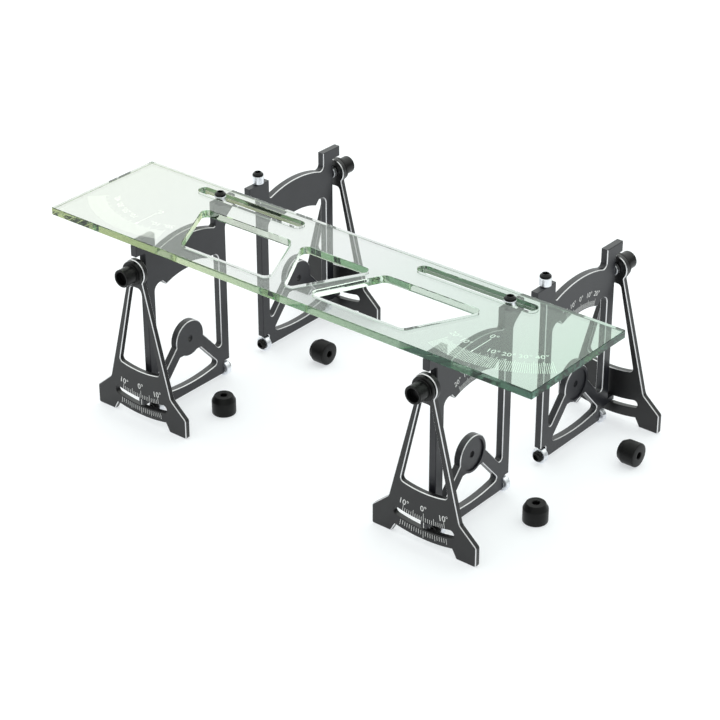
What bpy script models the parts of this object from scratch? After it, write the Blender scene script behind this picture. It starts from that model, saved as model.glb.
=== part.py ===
"""Wheel alignment set for a 1/10 scale model car: four stands, a clear toe plate and four wheel nuts.

Every dimension below is in millimetres; MM turns it into Blender's metres. The bench is z = 0, the toe
plate runs along X, and the origin lies on the bench under the middle of the set.

A stand's own frame has x across the wheel, y inward from the outer face of its camber plate, and z up.
"""

import math

import bmesh
import bpy
from mathutils import Matrix, Vector

MM = 0.001
GAP = 0.3  # between pieces that touch on the real set
ROUND_STEPS = 16  # sides of a small turned piece
CHORD_ERROR = 0.10  # how far an arc's flats may lie inside the true arc

# Where the stands are: each pivots about the pin at its inner end
PIN_Y = 62.6
STANDS = {
    "front_left": {"x": -89.7, "y": -77.4, "faces": 1, "outer": -1},
    "front_right": {"x": 88.3, "y": -77.4, "faces": 1, "outer": 1},
    "rear_left": {"x": -90.9, "y": 77.4, "faces": -1, "outer": 1},
    "rear_right": {"x": 87.8, "y": 76.4, "faces": -1, "outer": -1},
}

# Main plate, the upright that stands for the wheel
PLATE_THICK = 4.0
HUB_Y = 34.7
HUB_Z = 32.5
HUB_HOLE_R = 1.7  # the wheel axle's clearance
RECESS_R = 8.1
RECESS_DEEP = 0.8
BOSS_R = 9.9
BOSS_UNDER_R = 9.4
BASE_Z = 2.05
POST_OUTER = (6.0, 11.7)
POST_INNER = (57.7, 63.4)
BLOCK_Y = (56.3, 71.3)  # the top block that the toe pin screws into
TAB_Y = (0.2, 13.5)  # the top tab over the camber plate
POINTER_Z = (8.8, 12.0)
BASE_Y = (12.6, 59.1)  # the base bar, between the rollers
OUTER_NOTCH_Z = 8.5  # the underside of the outer post, over its roller
TOP_Z = 96.8
ARCH_R = 58.1
WINDOW_ARC_R = 39.6
WINDOW_ARC_DEG = 67.9  # where the scale's arc meets the window's top corner
WINDOW_TOP_Z = 71.9
WINDOW_HOOK_Y = 52.1
WINDOW_FOOT_Z = 15.9
BASE_ARC_R = 90.0
BASE_TOP_Z = 7.35

# Camber plate, the A-frame
CAMBER_THICK = 3.0
PIVOT_Z = 82.7
FOOT_HALF = 30.0
FOOT_INNER = 19.0
HEAD_R = 6.7
SLOT_R = 72.4
SLOT_HALF = 2.1
SLOT_END_DEG = 12.2
ARCH_UNDER_R = 80.0
ARCH_UNDER_END_DEG = -78.1
WINDOW_FLOOR_R = 54.8

# Fasteners and rollers
HOLE_R = 1.5
SHANK_R = 1.2
HEAD_BUTTON_R = 2.85
HEAD_BUTTON_H = 1.65
CROWN_R = 1.9  # where the button head's dome flattens
SOCKET_FLATS = 2.9
SOCKET_DEEP = 1.0
SLEEVE_R = 2.95
SLEEVE_Z = (97.1, 101.2)
ROLLER_R = 4.0
ROLLER_Y = (59.4, 62.4)
OUTER_ROLLER_Y = (9.3, 12.3)
RACE_R = (2.3, 2.6)
BUSH_R = 3.0
KNOB_FLANGE = (6.2, 1.8)
KNOB_BARREL_R = 4.55
KNOB_END_Y = -9.2
KNOB_HOLLOW = (3.4, 3.2)  # radius and depth of its open end
KNOB_WEB = 1.0  # between the open end and the bore
STUD_Y = (-4.6, 12.4)
ROLLER_SCREW_LONG = 12.9
ROLLER_HOLE_Y = (22.3, 49.5)  # where the roller screws' blind holes end
TOE_SCREW_LONG = 14.0
PIN_HOLE_Z = 87.5

# Toe plate
TOE_LENGTH = 290.4
TOE_Y = (-77.4, -5.8)
TOE_Z = (97.1, 101.1)
TOE_CORNER_R = 0.6
TOE_SLOT_X = (35.7, 103.2)
TOE_SLOT_HALF = 3.15
CUTOUT_Y = (-67.3, -31.0)

# Wheel nuts: radius, height of the straight part, height, radius at the top, bore
NUT_R = 6.15
NUT_STRAIGHT = 7.3
NUT_HEIGHT = 10.0
NUT_TOP_R = 4.65
NUT_BORE_R = 1.8
NUT_EDGE = 0.5
NUTS = {
    "wheel_nut_1": {"place": (-63.2, -45.6, 0.0), "lying": False},
    "wheel_nut_2": {"place": (-53.6, 25.6, NUT_R), "lying": True},
    "wheel_nut_3": {"place": (116.4, -28.5, 0.0), "lying": False},
    "wheel_nut_4": {"place": (127.3, 42.0, NUT_R), "lying": True},
}


# ---------------------------------------------------------------- outlines


def arc(centre, radius, start_deg, end_deg):
    """Points along a circular arc, both ends included, close enough to keep CHORD_ERROR."""
    widest = 2 * math.degrees(math.acos(1 - min(CHORD_ERROR / radius, 0.08)))
    count = max(2, math.ceil(abs(end_deg - start_deg) / widest))
    angles = [math.radians(start_deg + (end_deg - start_deg) * i / count) for i in range(count + 1)]
    return [(centre[0] + radius * math.cos(a), centre[1] + radius * math.sin(a)) for a in angles]


def circle(centre, radius):
    return arc(centre, radius, 0, 360)[:-1]


def rounded(corners):
    """A closed outline through (x, y) points and (x, y, radius) corners, which it rounds."""
    outline = []
    for i, corner in enumerate(corners):
        here = Vector(corner[:2])
        if len(corner) == 2:
            outline.append(tuple(here))
            continue
        radius = corner[2]
        back = (Vector(corners[i - 1][:2]) - here).normalized()
        ahead = (Vector(corners[(i + 1) % len(corners)][:2]) - here).normalized()
        half = back.angle(ahead) / 2
        centre = here + (back + ahead).normalized() * radius / math.sin(half)
        start = here + back * radius / math.tan(half) - centre
        end = here + ahead * radius / math.tan(half) - centre
        first = math.degrees(math.atan2(start.y, start.x))
        turn = math.degrees(math.atan2(start.cross(end), start.dot(end)))
        outline += arc(centre, radius, first, first + turn)
    return outline


def mirrored(half):
    """The half outline followed by its mirror image about x = 0, in reverse order."""
    return half + [(-p[0], *p[1:]) for p in reversed(half)]


# ---------------------------------------------------------------- meshes


def filled_plate(loops, across, low, high):
    """A closed slab, across being its normal axis. The first loop is its outside, the rest are holes."""
    bm = bmesh.new()
    others = [axis for axis in range(3) if axis != across]
    for loop in loops:
        verts = []
        for point in loop:
            place = [0.0, 0.0, 0.0]
            place[others[0]], place[others[1]], place[across] = point[0] * MM, point[1] * MM, low * MM
            verts.append(bm.verts.new(place))
        for i, vert in enumerate(verts):
            bm.edges.new((vert, verts[(i + 1) % len(verts)]))
    bmesh.ops.triangle_fill(bm, edges=bm.edges[:], use_beauty=True, use_dissolve=False)
    raised = bmesh.ops.extrude_face_region(bm, geom=bm.faces[:])
    shift = [0.0, 0.0, 0.0]
    shift[across] = (high - low) * MM
    top = [item for item in raised["geom"] if isinstance(item, bmesh.types.BMVert)]
    bmesh.ops.translate(bm, verts=top, vec=shift)
    bmesh.ops.recalc_face_normals(bm, faces=bm.faces[:])
    return bm


def turned(profile, steps=ROUND_STEPS):
    """A closed body turned about Z from a closed (radius, z) profile."""
    bm = bmesh.new()
    rings = []
    for radius, height in profile:
        if radius == 0:
            rings.append([bm.verts.new((0, 0, height * MM))] * steps)
            continue
        turns = [2 * math.pi * i / steps for i in range(steps)]
        rings.append([
            bm.verts.new((radius * math.cos(a) * MM, radius * math.sin(a) * MM, height * MM)) for a in turns
        ])
    for ring, following in zip(rings, rings[1:] + rings[:1]):
        for i in range(steps):
            j = (i + 1) % steps
            corners = list(dict.fromkeys([ring[i], ring[j], following[j], following[i]]))
            if len(corners) > 2:
                bm.faces.new(corners)
    bmesh.ops.recalc_face_normals(bm, faces=bm.faces[:])
    return bm


def mesh_from(bm, name):
    mesh = bpy.data.meshes.new(name)
    bm.to_mesh(mesh)
    bm.free()
    return mesh


def cut(mesh, cutters, name):
    """A new mesh: the first one with each cutter's bmesh removed by an exact Boolean."""
    body = bpy.data.objects.new(name + "_blank", mesh)
    bpy.context.scene.collection.objects.link(body)
    helpers = [body]
    for number, bm in enumerate(cutters):
        cutter = bpy.data.objects.new(f"{name}_cutter_{number}", mesh_from(bm, f"{name}_cutter"))
        bpy.context.scene.collection.objects.link(cutter)
        helpers.append(cutter)
        boolean = body.modifiers.new("cut", "BOOLEAN")
        boolean.operation = "DIFFERENCE"
        boolean.solver = "EXACT"
        boolean.object = cutter
    bpy.context.view_layer.update()
    graph = bpy.context.evaluated_depsgraph_get()
    result = bpy.data.meshes.new_from_object(body.evaluated_get(graph))
    result.name = name
    for helper in helpers:
        bpy.data.objects.remove(helper)
    return result


def rod(radius, low, high, steps=ROUND_STEPS):
    return turned([(0, low), (radius, low), (radius, high), (0, high)], steps)


def moved(bm, matrix):
    bmesh.ops.transform(bm, matrix=matrix, verts=bm.verts[:])
    return bm


def along_y():
    """Turns a body made about +Z so that it lies along +Y."""
    return Matrix.Rotation(math.radians(-90), 4, "X")


def place_at(x, y, z):
    return Matrix.Translation((x * MM, y * MM, z * MM))


# ---------------------------------------------------------------- materials


def material(name, colour, roughness, metallic, transmission=0.0):
    made = bpy.data.materials.new(name)
    made.use_nodes = True
    shader = made.node_tree.nodes["Principled BSDF"]
    shader.inputs["Base Color"].default_value = (*colour, 1)
    shader.inputs["Roughness"].default_value = roughness
    shader.inputs["Metallic"].default_value = metallic
    shader.inputs["Transmission Weight"].default_value = transmission
    made.diffuse_color = (*colour, 1)
    return made


def all_materials():
    return {
        "anodised_plate": material("anodised_plate", (0.035, 0.036, 0.038), 0.42, 0.6),
        "anodised_frame": material("anodised_frame", (0.030, 0.031, 0.033), 0.42, 0.6),
        "knob_black": material("knob_black", (0.012, 0.012, 0.013), 0.35, 0.4),
        "screw_black": material("screw_black", (0.015, 0.015, 0.016), 0.35, 0.7),
        "bright_aluminium": material("bright_aluminium", (0.78, 0.79, 0.82), 0.25, 1.0),
        "steel": material("steel", (0.55, 0.56, 0.58), 0.28, 1.0),
        "clear_glass": material("clear_glass", (0.86, 0.94, 0.88), 0.03, 0.0, 1.0),
        "nut_black": material("nut_black", (0.016, 0.016, 0.017), 0.45, 0.4),
    }


# ---------------------------------------------------------------- stand pieces


def main_plate_outline():
    hub = (HUB_Y, HUB_Z)
    tab_outer, tab_inner = TAB_Y
    block_outer, block_inner = BLOCK_Y

    def arch_deg(y):
        return math.degrees(math.acos((y - HUB_Y) / ARCH_R))

    def arch_z(y):
        return HUB_Z + math.sqrt(ARCH_R**2 - (y - HUB_Y) ** 2)

    arch = arc(hub, ARCH_R, arch_deg(block_outer - 3), arch_deg(tab_inner + 5))
    return rounded([
        (BASE_Y[0], BASE_Z, 0.8),
        (BASE_Y[1], BASE_Z),
        (BASE_Y[1], 8.3),
        (59.8, 9.0),
        (POST_INNER[1], 9.0),
        (POST_INNER[1], 85.8, 5.0),
        (block_inner, 92.0),
        (block_inner, TOP_Z),
        (block_outer, TOP_Z),
        (block_outer, arch_z(block_outer), 1.2),
        *arch,
        (tab_inner, arch_z(tab_inner), 2.5),
        (tab_inner, TOP_Z),
        (tab_outer, TOP_Z),
        (tab_outer, 91.2),
        (POST_OUTER[0], 91.2, 1.0),
        (POST_OUTER[0], POINTER_Z[1]),
        (GAP, POINTER_Z[1]),
        (GAP, POINTER_Z[0]),
        (POST_OUTER[0], POINTER_Z[0]),
        (POST_OUTER[0], OUTER_NOTCH_Z),
        (BASE_Y[0], OUTER_NOTCH_Z),
    ])


def upper_window():
    """Between the posts, over the hub boss and its two arms, under the caster scale's arc."""
    hub = (HUB_Y, HUB_Z)
    post = POST_INNER[0]
    mirror = 2 * HUB_Y
    return rounded([
        *arc(hub, BOSS_R, 190, -10),
        (post, WINDOW_FOOT_Z, 1.7),
        (post, WINDOW_TOP_Z, 3.8),
        (WINDOW_HOOK_Y, WINDOW_TOP_Z),
        *arc(hub, WINDOW_ARC_R, WINDOW_ARC_DEG, 180 - WINDOW_ARC_DEG),
        (mirror - WINDOW_HOOK_Y, WINDOW_TOP_Z),
        (mirror - post, WINDOW_TOP_Z, 3.8),
        (mirror - post, WINDOW_FOOT_Z, 1.7),
    ])


def lower_window():
    """Under the hub boss and its arms, over the base bar."""
    boss = arc((HUB_Y, HUB_Z), BOSS_UNDER_R, 239.5, 300.5)
    floor = arc((HUB_Y, BASE_TOP_Z + BASE_ARC_R), BASE_ARC_R, 280, 260)
    corner = (55.4, 9.76, 1.8)
    shoulder = (42.3, 24.4)
    mirror = 2 * HUB_Y
    return rounded([
        (mirror - shoulder[0], shoulder[1]),
        *boss,
        shoulder,
        corner,
        *floor,
        (mirror - corner[0], *corner[1:]),
    ])


def main_plate_mesh(outer):
    """The upright, with its origin on the toe pin's axis. outer, +1 or -1 along x, is its recess's side."""
    half = PLATE_THICK / 2
    loops = [main_plate_outline(), upper_window(), lower_window(), circle((HUB_Y, HUB_Z), HUB_HOLE_R)]
    blank = mesh_from(filled_plate(loops, 0, -half, half), "main_plate_blank")
    facing = Matrix.Rotation(math.radians(90 * outer), 4, "Y")
    recess = moved(
        rod(RECESS_R, half - RECESS_DEEP, half + 1, 40),
        place_at(0, HUB_Y, HUB_Z) @ facing,
    )
    stud_hole = moved(rod(HOLE_R, POST_OUTER[0] - 1, STUD_Y[1] + GAP), place_at(0, 0, PIVOT_Z) @ along_y())
    roller_axis = place_at(0, 0, ROLLER_R) @ along_y()
    outer_hole = moved(rod(HOLE_R, OUTER_ROLLER_Y[1], ROLLER_HOLE_Y[0]), roller_axis)
    roller_hole = moved(rod(HOLE_R, ROLLER_HOLE_Y[1], ROLLER_Y[1]), roller_axis)
    pin_hole = moved(rod(HOLE_R, PIN_HOLE_Z, TOP_Z + 1), place_at(0, PIN_Y, 0))
    mesh = cut(blank, [recess, stud_hole, outer_hole, roller_hole, pin_hole], "main_plate")
    mesh.transform(place_at(0, -PIN_Y, 0))
    return mesh


def camber_plate_mesh():
    """The A-frame that leans against the main plate's scale. Its origin is the camber pivot."""
    pivot = (0.0, PIVOT_Z)
    half = [
        *arc(pivot, ARCH_UNDER_R, -90, ARCH_UNDER_END_DEG)[1:],
        (FOOT_INNER, 0.0),
        (FOOT_HALF, 0.0, 1.0),
        (FOOT_HALF, 10.2, 1.5),
        (20.4, 18.6, 4.0),
        (4.98, 78.23, 1.5),
        *arc(pivot, HEAD_R, -30, 80),
    ]
    window = [(13.7, 29.65, 2.0), (3.35, 74.4, 2.0)]
    floor = arc(pivot, WINDOW_FLOOR_R, -100, -80)
    end = math.radians(SLOT_END_DEG)
    right_end = (SLOT_R * math.sin(end), PIVOT_Z - SLOT_R * math.cos(end))
    left_end = (-right_end[0], right_end[1])
    slot = (
        arc(pivot, SLOT_R + SLOT_HALF, -90 - SLOT_END_DEG, -90 + SLOT_END_DEG)[:-1]
        + arc(right_end, SLOT_HALF, -90 + SLOT_END_DEG, 90 + SLOT_END_DEG)[:-1]
        + arc(pivot, SLOT_R - SLOT_HALF, -90 + SLOT_END_DEG, -90 - SLOT_END_DEG)[:-1]
        + arc(left_end, SLOT_HALF, 90 - SLOT_END_DEG, 270 - SLOT_END_DEG)[:-1]
    )
    loops = [rounded(mirrored(half)), rounded(floor + mirrored(window)), slot, circle(pivot, HOLE_R)]
    mesh = mesh_from(filled_plate(loops, 1, 0, CAMBER_THICK), "camber_plate")
    mesh.transform(place_at(0, 0, -PIVOT_Z))
    return mesh


def knob_mesh():
    """The clamping knob, turned about Y, with a hollow outer end. It turns on the camber pivot's axis."""
    flange_r, flange_thick = KNOB_FLANGE
    hollow_r, hollow_deep = KNOB_HOLLOW
    end = -KNOB_END_Y
    floor = end - hollow_deep
    profile = [
        (HOLE_R, GAP),
        (flange_r - 0.3, GAP),
        (flange_r, GAP + 0.3),
        (flange_r, GAP + flange_thick - 0.3),
        (flange_r - 0.3, GAP + flange_thick),
        (KNOB_BARREL_R, GAP + flange_thick),
        (KNOB_BARREL_R, end - 0.4),
        (KNOB_BARREL_R - 0.4, end),
        (hollow_r, end),
        (hollow_r, floor),
        (0, floor),
        (0, floor - KNOB_WEB),
        (HOLE_R, floor - KNOB_WEB),
    ]
    return mesh_from(moved(turned(profile), along_y() @ Matrix.Rotation(math.pi, 4, "X")), "camber_knob")


def ring_mesh(inner, outer, low, high, name, edge=0.2):
    """A plain ring about Z with a small chamfer on its two outer edges."""
    profile = [
        (inner, low),
        (outer - edge, low),
        (outer, low + edge),
        (outer, high - edge),
        (outer - edge, high),
        (inner, high),
    ]
    return mesh_from(turned(profile), name)


def button_screw_mesh(length, name):
    """A button head screw along Z, with a hexagon socket. The head's underside is z = 0."""
    dome = [
        (HEAD_BUTTON_R, 0.0),
        (HEAD_BUTTON_R, 0.35),
        (HEAD_BUTTON_R * 0.92, 0.95),
        (HEAD_BUTTON_R * 0.80, 1.35),
        (CROWN_R, HEAD_BUTTON_H),
    ]
    profile = [(0, -length), (SHANK_R - 0.3, -length), (SHANK_R, 0.3 - length), (SHANK_R, 0.0)] + dome
    body = turned(profile + [(0, HEAD_BUTTON_H)])
    socket = rod(SOCKET_FLATS / math.sqrt(3), HEAD_BUTTON_H - SOCKET_DEEP, HEAD_BUTTON_H + 1, 6)
    return cut(mesh_from(body, name + "_blank"), [socket], name)


def nut_mesh():
    profile = [
        (NUT_BORE_R, 0.0),
        (NUT_R - NUT_EDGE, 0.0),
        (NUT_R - NUT_EDGE * 0.3, NUT_EDGE * 0.3),
        (NUT_R, NUT_EDGE),
        (NUT_R, NUT_STRAIGHT),
        (NUT_TOP_R, NUT_HEIGHT),
        (NUT_BORE_R, NUT_HEIGHT),
    ]
    return mesh_from(turned(profile), "wheel_nut")


# ---------------------------------------------------------------- toe plate


def toe_slot(side):
    """A round-ended slot along x on one side, +1 or -1."""
    near, far = TOE_SLOT_X[0] + TOE_SLOT_HALF, TOE_SLOT_X[1] - TOE_SLOT_HALF
    y = STANDS["front_left"]["y"] + PIN_Y
    low, high = sorted((side * near, side * far))
    return arc((high, y), TOE_SLOT_HALF, -90, 90) + arc((low, y), TOE_SLOT_HALF, 90, 270)


def toe_side_cutout(side):
    near, far = CUTOUT_Y
    corners = [(11.7, near, 3.0), (67.5, near, 4.5), (86.1, far, 3.0), (28.8, far, 4.5)]
    return rounded([(side * x, y, r) for x, y, r in corners])


def toe_plate_mesh():
    half = TOE_LENGTH / 2
    near, far = TOE_Y
    outline = rounded([
        (-half, near, TOE_CORNER_R),
        (half, near, TOE_CORNER_R),
        (half, far, TOE_CORNER_R),
        (-half, far, TOE_CORNER_R),
    ])
    middle = rounded([
        (-2.0, CUTOUT_Y[0], 2.0),
        (2.0, CUTOUT_Y[0], 2.0),
        (22.0, CUTOUT_Y[1], 3.0),
        (-22.0, CUTOUT_Y[1], 3.0),
    ])
    loops = [outline, toe_slot(-1), toe_slot(1), middle, toe_side_cutout(-1), toe_side_cutout(1)]
    return mesh_from(filled_plate(loops, 2, *TOE_Z), "toe_plate")


# ---------------------------------------------------------------- assembly


def add(name, mesh, made, parent=None, place=(0, 0, 0), turn=(0, 0, 0)):
    """Links one node, placed in its parent's frame in millimetres, and shades its round faces smooth."""
    obj = bpy.data.objects.new(name, mesh)
    bpy.context.scene.collection.objects.link(obj)
    obj.parent = parent
    obj.location = [value * MM for value in place]
    obj.rotation_euler = turn
    if not mesh.materials:
        mesh.materials.append(made)
        mesh.shade_smooth()
        mesh.set_sharp_from_angle(angle=math.radians(30))
    return obj


def add_stand(name, spec, meshes, materials):
    """One stand hung on an empty that stands on its toe pin's axis."""
    pin = bpy.data.objects.new(name + "_toe_axis", None)
    bpy.context.scene.collection.objects.link(pin)
    pin.location = (spec["x"] * MM, (spec["y"] + spec["faces"] * PIN_Y) * MM, 0)
    pin.rotation_euler.z = 0 if spec["faces"] > 0 else math.pi

    def piece(kind, made, y, z, turn=(0, 0, 0)):
        add(f"{name}_{kind}", meshes[kind], materials[made], pin, (0, y - PIN_Y, z), turn)

    plate = meshes["main_plate_right"] if spec["outer"] > 0 else meshes["main_plate_left"]
    add(name + "_main_plate", plate, materials["anodised_plate"], pin)
    inward = (math.radians(-90), 0, 0)
    outward = (math.radians(90), 0, 0)
    piece("camber_plate", "anodised_frame", 0, PIVOT_Z)
    piece("camber_knob", "knob_black", 0, PIVOT_Z)
    piece("pivot_bush", "steel", CAMBER_THICK + GAP, PIVOT_Z, inward)
    piece("pivot_stud", "steel", 0, PIVOT_Z, inward)
    piece("roller_ring", "bright_aluminium", ROLLER_Y[0], ROLLER_R, inward)
    piece("roller_core", "steel", ROLLER_Y[0], ROLLER_R, inward)
    piece("roller_screw", "screw_black", ROLLER_Y[1] + GAP, ROLLER_R, inward)
    piece("outer_roller", "bright_aluminium", OUTER_ROLLER_Y[0], ROLLER_R, inward)
    piece("outer_screw", "screw_black", OUTER_ROLLER_Y[0] - GAP, ROLLER_R, outward)
    piece("toe_sleeve", "bright_aluminium", PIN_Y, SLEEVE_Z[0])
    piece("toe_screw", "screw_black", PIN_Y, SLEEVE_Z[1] + GAP)


def stand_meshes():
    roller_wide = ROLLER_Y[1] - ROLLER_Y[0]
    return {
        "main_plate_left": main_plate_mesh(-1),
        "main_plate_right": main_plate_mesh(1),
        "camber_plate": camber_plate_mesh(),
        "camber_knob": knob_mesh(),
        "pivot_bush": ring_mesh(HOLE_R, BUSH_R, 0, POST_OUTER[0] - CAMBER_THICK - 2 * GAP, "pivot_bush"),
        "pivot_stud": mesh_from(rod(SHANK_R, *STUD_Y), "pivot_stud"),
        "roller_ring": ring_mesh(RACE_R[1], ROLLER_R, 0, roller_wide, "roller_ring"),
        "roller_core": ring_mesh(HOLE_R, RACE_R[0], 0, roller_wide, "roller_core"),
        "roller_screw": button_screw_mesh(ROLLER_SCREW_LONG, "roller_screw"),
        "outer_roller": ring_mesh(HOLE_R, ROLLER_R, 0, roller_wide, "outer_roller"),
        "outer_screw": button_screw_mesh(ROLLER_SCREW_LONG, "outer_screw"),
        "toe_sleeve": ring_mesh(HOLE_R, SLEEVE_R, 0, SLEEVE_Z[1] - SLEEVE_Z[0], "toe_sleeve"),
        "toe_screw": button_screw_mesh(TOE_SCREW_LONG, "toe_screw"),
    }


def build():
    for obj in list(bpy.data.objects):
        bpy.data.objects.remove(obj)
    materials = all_materials()
    meshes = stand_meshes()
    for name, spec in STANDS.items():
        add_stand(name, spec, meshes, materials)
    add("toe_plate", toe_plate_mesh(), materials["clear_glass"])
    nut = nut_mesh()
    for name, spec in NUTS.items():
        turn = (0, math.radians(-90), 0) if spec["lying"] else (0, 0, 0)
        add(name, nut, materials["nut_black"], None, spec["place"], turn)


build()
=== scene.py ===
"""The looks of the wheel alignment set: chamfered plates, turned metal, engraved scales and clear glass.

Shapes are in millimetres, as in the CAD source, and MM turns them into metres. Places come from the frame.
A stand's own frame has x across the wheel, y inward from its camber plate's outer face, and z up.
"""

import math

import bmesh
import bpy
from mathutils import Matrix, Vector


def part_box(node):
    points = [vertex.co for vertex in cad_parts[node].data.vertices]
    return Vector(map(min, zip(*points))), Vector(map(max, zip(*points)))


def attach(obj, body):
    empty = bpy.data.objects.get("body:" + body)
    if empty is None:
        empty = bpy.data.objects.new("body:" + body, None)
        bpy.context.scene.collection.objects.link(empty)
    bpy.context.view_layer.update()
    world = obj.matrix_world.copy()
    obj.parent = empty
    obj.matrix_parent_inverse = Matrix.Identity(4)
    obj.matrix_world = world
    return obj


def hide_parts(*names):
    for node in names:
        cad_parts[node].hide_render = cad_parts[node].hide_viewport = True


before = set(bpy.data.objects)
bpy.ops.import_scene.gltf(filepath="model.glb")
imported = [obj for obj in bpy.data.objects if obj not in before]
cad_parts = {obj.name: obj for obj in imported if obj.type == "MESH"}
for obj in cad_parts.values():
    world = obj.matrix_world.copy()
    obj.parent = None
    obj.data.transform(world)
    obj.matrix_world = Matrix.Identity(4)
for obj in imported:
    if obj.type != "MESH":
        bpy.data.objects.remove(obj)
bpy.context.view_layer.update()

MM = 0.001
CHORD_ERROR = 0.012  # how far an arc's flats may lie inside the true arc
COARSEST_CHORD = 0.02  # the same as a share of the radius, so a small circle has 16 sides or more
TURN_STEPS = 64
MITRE_LIMIT = 0.4
SMOOTH_DEG = 22
EDGE = 0.36  # chamfer of the machined plates
SLOT_EDGE = 0.2
HOLE_EDGE = 0.1
GLASS_EDGE = 0.25
MARK_DEEP = 0.03  # how far an engraved mark's paint stands out
GAP = 0.3  # between pieces that touch on the real set

# Each stand: whether its inner end points to +y or -y, and which side of its main plate has the recess
STANDS = {
    "front_left": {"faces": 1, "outer": -1},
    "front_right": {"faces": 1, "outer": 1},
    "rear_left": {"faces": -1, "outer": 1},
    "rear_right": {"faces": -1, "outer": -1},
}

# Main plate
PLATE_HALF = 2.0
HUB = (34.7, 32.5)
HUB_HOLE_R = 1.7
CASTER_CENTRE_Z = 40.3
RECESS_R = 8.1
RECESS_DEEP = 0.8
BOSS_R = 9.9
BOSS_UNDER_R = 9.4
ARCH_R = 58.1
WINDOW_ARC_R = 39.6
WINDOW_ARC_DEG = 67.9  # where the scale's arc meets the window's top corner
WINDOW_TOP_Z = 71.9
WINDOW_HOOK_Y = 52.1
WINDOW_FOOT_Z = 15.9
BASE_ARC_R = 90.0
BASE_TOP_Z = 7.35
BASE_Z = 2.05
BASE_Y = (12.6, 59.1)  # the base bar, between the rollers
OUTER_NOTCH_Z = 8.5  # the underside of the outer post, over its roller
TOP_Z = 96.8
POST_OUTER = (6.0, 11.7)
POST_INNER = (57.7, 63.4)
BLOCK_Y = (56.3, 71.3)  # the top block that the toe pin screws into
TAB_Y = (0.2, 13.5)  # the top tab over the camber plate
POINTER_Z = (8.8, 12.0)

# Camber plate
CAMBER_THICK = 3.0
PIVOT_Z = 82.7
FOOT_HALF = 30.0
FOOT_INNER = 19.0
HEAD_R = 6.7
SLOT_R = 72.4
SLOT_HALF = 2.1
SLOT_END_DEG = 12.2
ARCH_UNDER_R = 80.0
ARCH_UNDER_END_DEG = -78.1
WINDOW_FLOOR_R = 54.8

# Fasteners and rollers
HOLE_R = 1.5
SHANK_R = 1.2
SHANK_TIP_R = 0.9
HEAD_BUTTON_R = 2.85
HEAD_BUTTON_H = 1.65
HEAD_RIM = 0.35  # the straight part of the button head, under its dome
CROWN_R = 1.9  # where the button head's dome flattens
SOCKET_FLATS = 2.9
SOCKET_DEEP = 1.1
PIN_Y = 62.6
PIN_HOLE_Z = 87.5
SLEEVE_R = 2.95
SLEEVE_Z = (97.1, 101.2)
ROLLER_R = 4.0
ROLLER_Y = (59.4, 62.4)
OUTER_ROLLER_Y = (9.3, 12.3)
ROLLER_WIDE = 3.0
ROLLER_EDGE = 0.25
ROLLER_HOLE_Y = (22.3, 49.5)  # where the roller screws' blind holes end
ROLLER_SCREW_LONG = 12.9
TOE_SCREW_LONG = 14.0
RACE_R = (2.3, 2.6)
SHIELD_R = 3.25
SHIELD_DEEP = 0.35
BUSH_R = 3.0
STUD_Y = (-4.6, 12.4)
STUD_HOLE_Y = (5.0, 12.7)
KNOB_FLANGE_R = 6.2
KNOB_FLANGE_Z = (0.3, 2.1)
KNOB_BARREL_R = 4.55
KNOB_HOLLOW_R = 3.4
KNOB_WEB_Z = (5.0, 6.0)  # between the bore and the open end
KNOB_END_Z = 9.2
NUT_R = 6.15
NUT_BORE_R = 1.8
NUT_HEIGHT = 10.0

# Toe plate
TOE_LENGTH = 290.4
TOE_Y = (-77.4, -5.8)
TOE_Z = (97.1, 101.1)
TOE_CORNER_R = 0.6
TOE_SLOT_X = (35.7, 103.2)
TOE_SLOT_HALF = 3.15
CUTOUT_Y = (-67.3, -31.0)

# Scales, as distances from each scale's centre: the camber pivot, the caster arc's centre and the toe pin.
# A camber tick ends near the slot at the last value, and away from it at the first if it is the zero line,
# the second if it is a five-degree line, and the third if it is a plain one.
CAMBER_TICKS_OVER = (65.8, 66.6, 67.9, 70.1)
CAMBER_TICKS_UNDER = (78.9, 78.2, 77.6, 75.2)
CAMBER_NUMBERS = (63.6, 65.2)  # for the zero and for the others
CASTER_TICKS = (32.6, 35.2, 36.2)
CASTER_NUMBERS = 38.8
TOE_SCALE_X = 102.1
TOE_TICKS = (46.5, 48.0, 57.0)
TOE_NUMBERS = 42.6
TOE_ZERO_LINE = (33.0, 48.0)
TOE_ZERO_NUMBER = 30.8

# Floor
FLOOR_HALF = 6.0
FLOOR_DROP = 0.0002

# Light
SCREEN_TOWARD = (-0.55, 0.68, 0.62)
HORIZON_LIGHT = 0.25

# Camera
CAMERA_PLACE = (0.62422, -0.77671, 0.58498)
CAMERA_AZIMUTH = 39.3282
CAMERA_ELEVATION = 29.007
CAMERA_ROLL = -0.0998
CAMERA_LENS = 115.12
SENSOR_WIDTH = 36.0


# ---------------------------------------------------------------- outlines


def arc(centre, radius, start_deg, end_deg):
    """Points along a circular arc, both ends included."""
    widest = 2 * math.degrees(math.acos(1 - min(CHORD_ERROR / radius, COARSEST_CHORD)))
    count = max(3, math.ceil(abs(end_deg - start_deg) / widest))
    angles = [math.radians(start_deg + (end_deg - start_deg) * i / count) for i in range(count + 1)]
    return [(centre[0] + radius * math.cos(a), centre[1] + radius * math.sin(a)) for a in angles]


def circle(centre, radius):
    return arc(centre, radius, 0, 360)[:-1]


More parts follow.
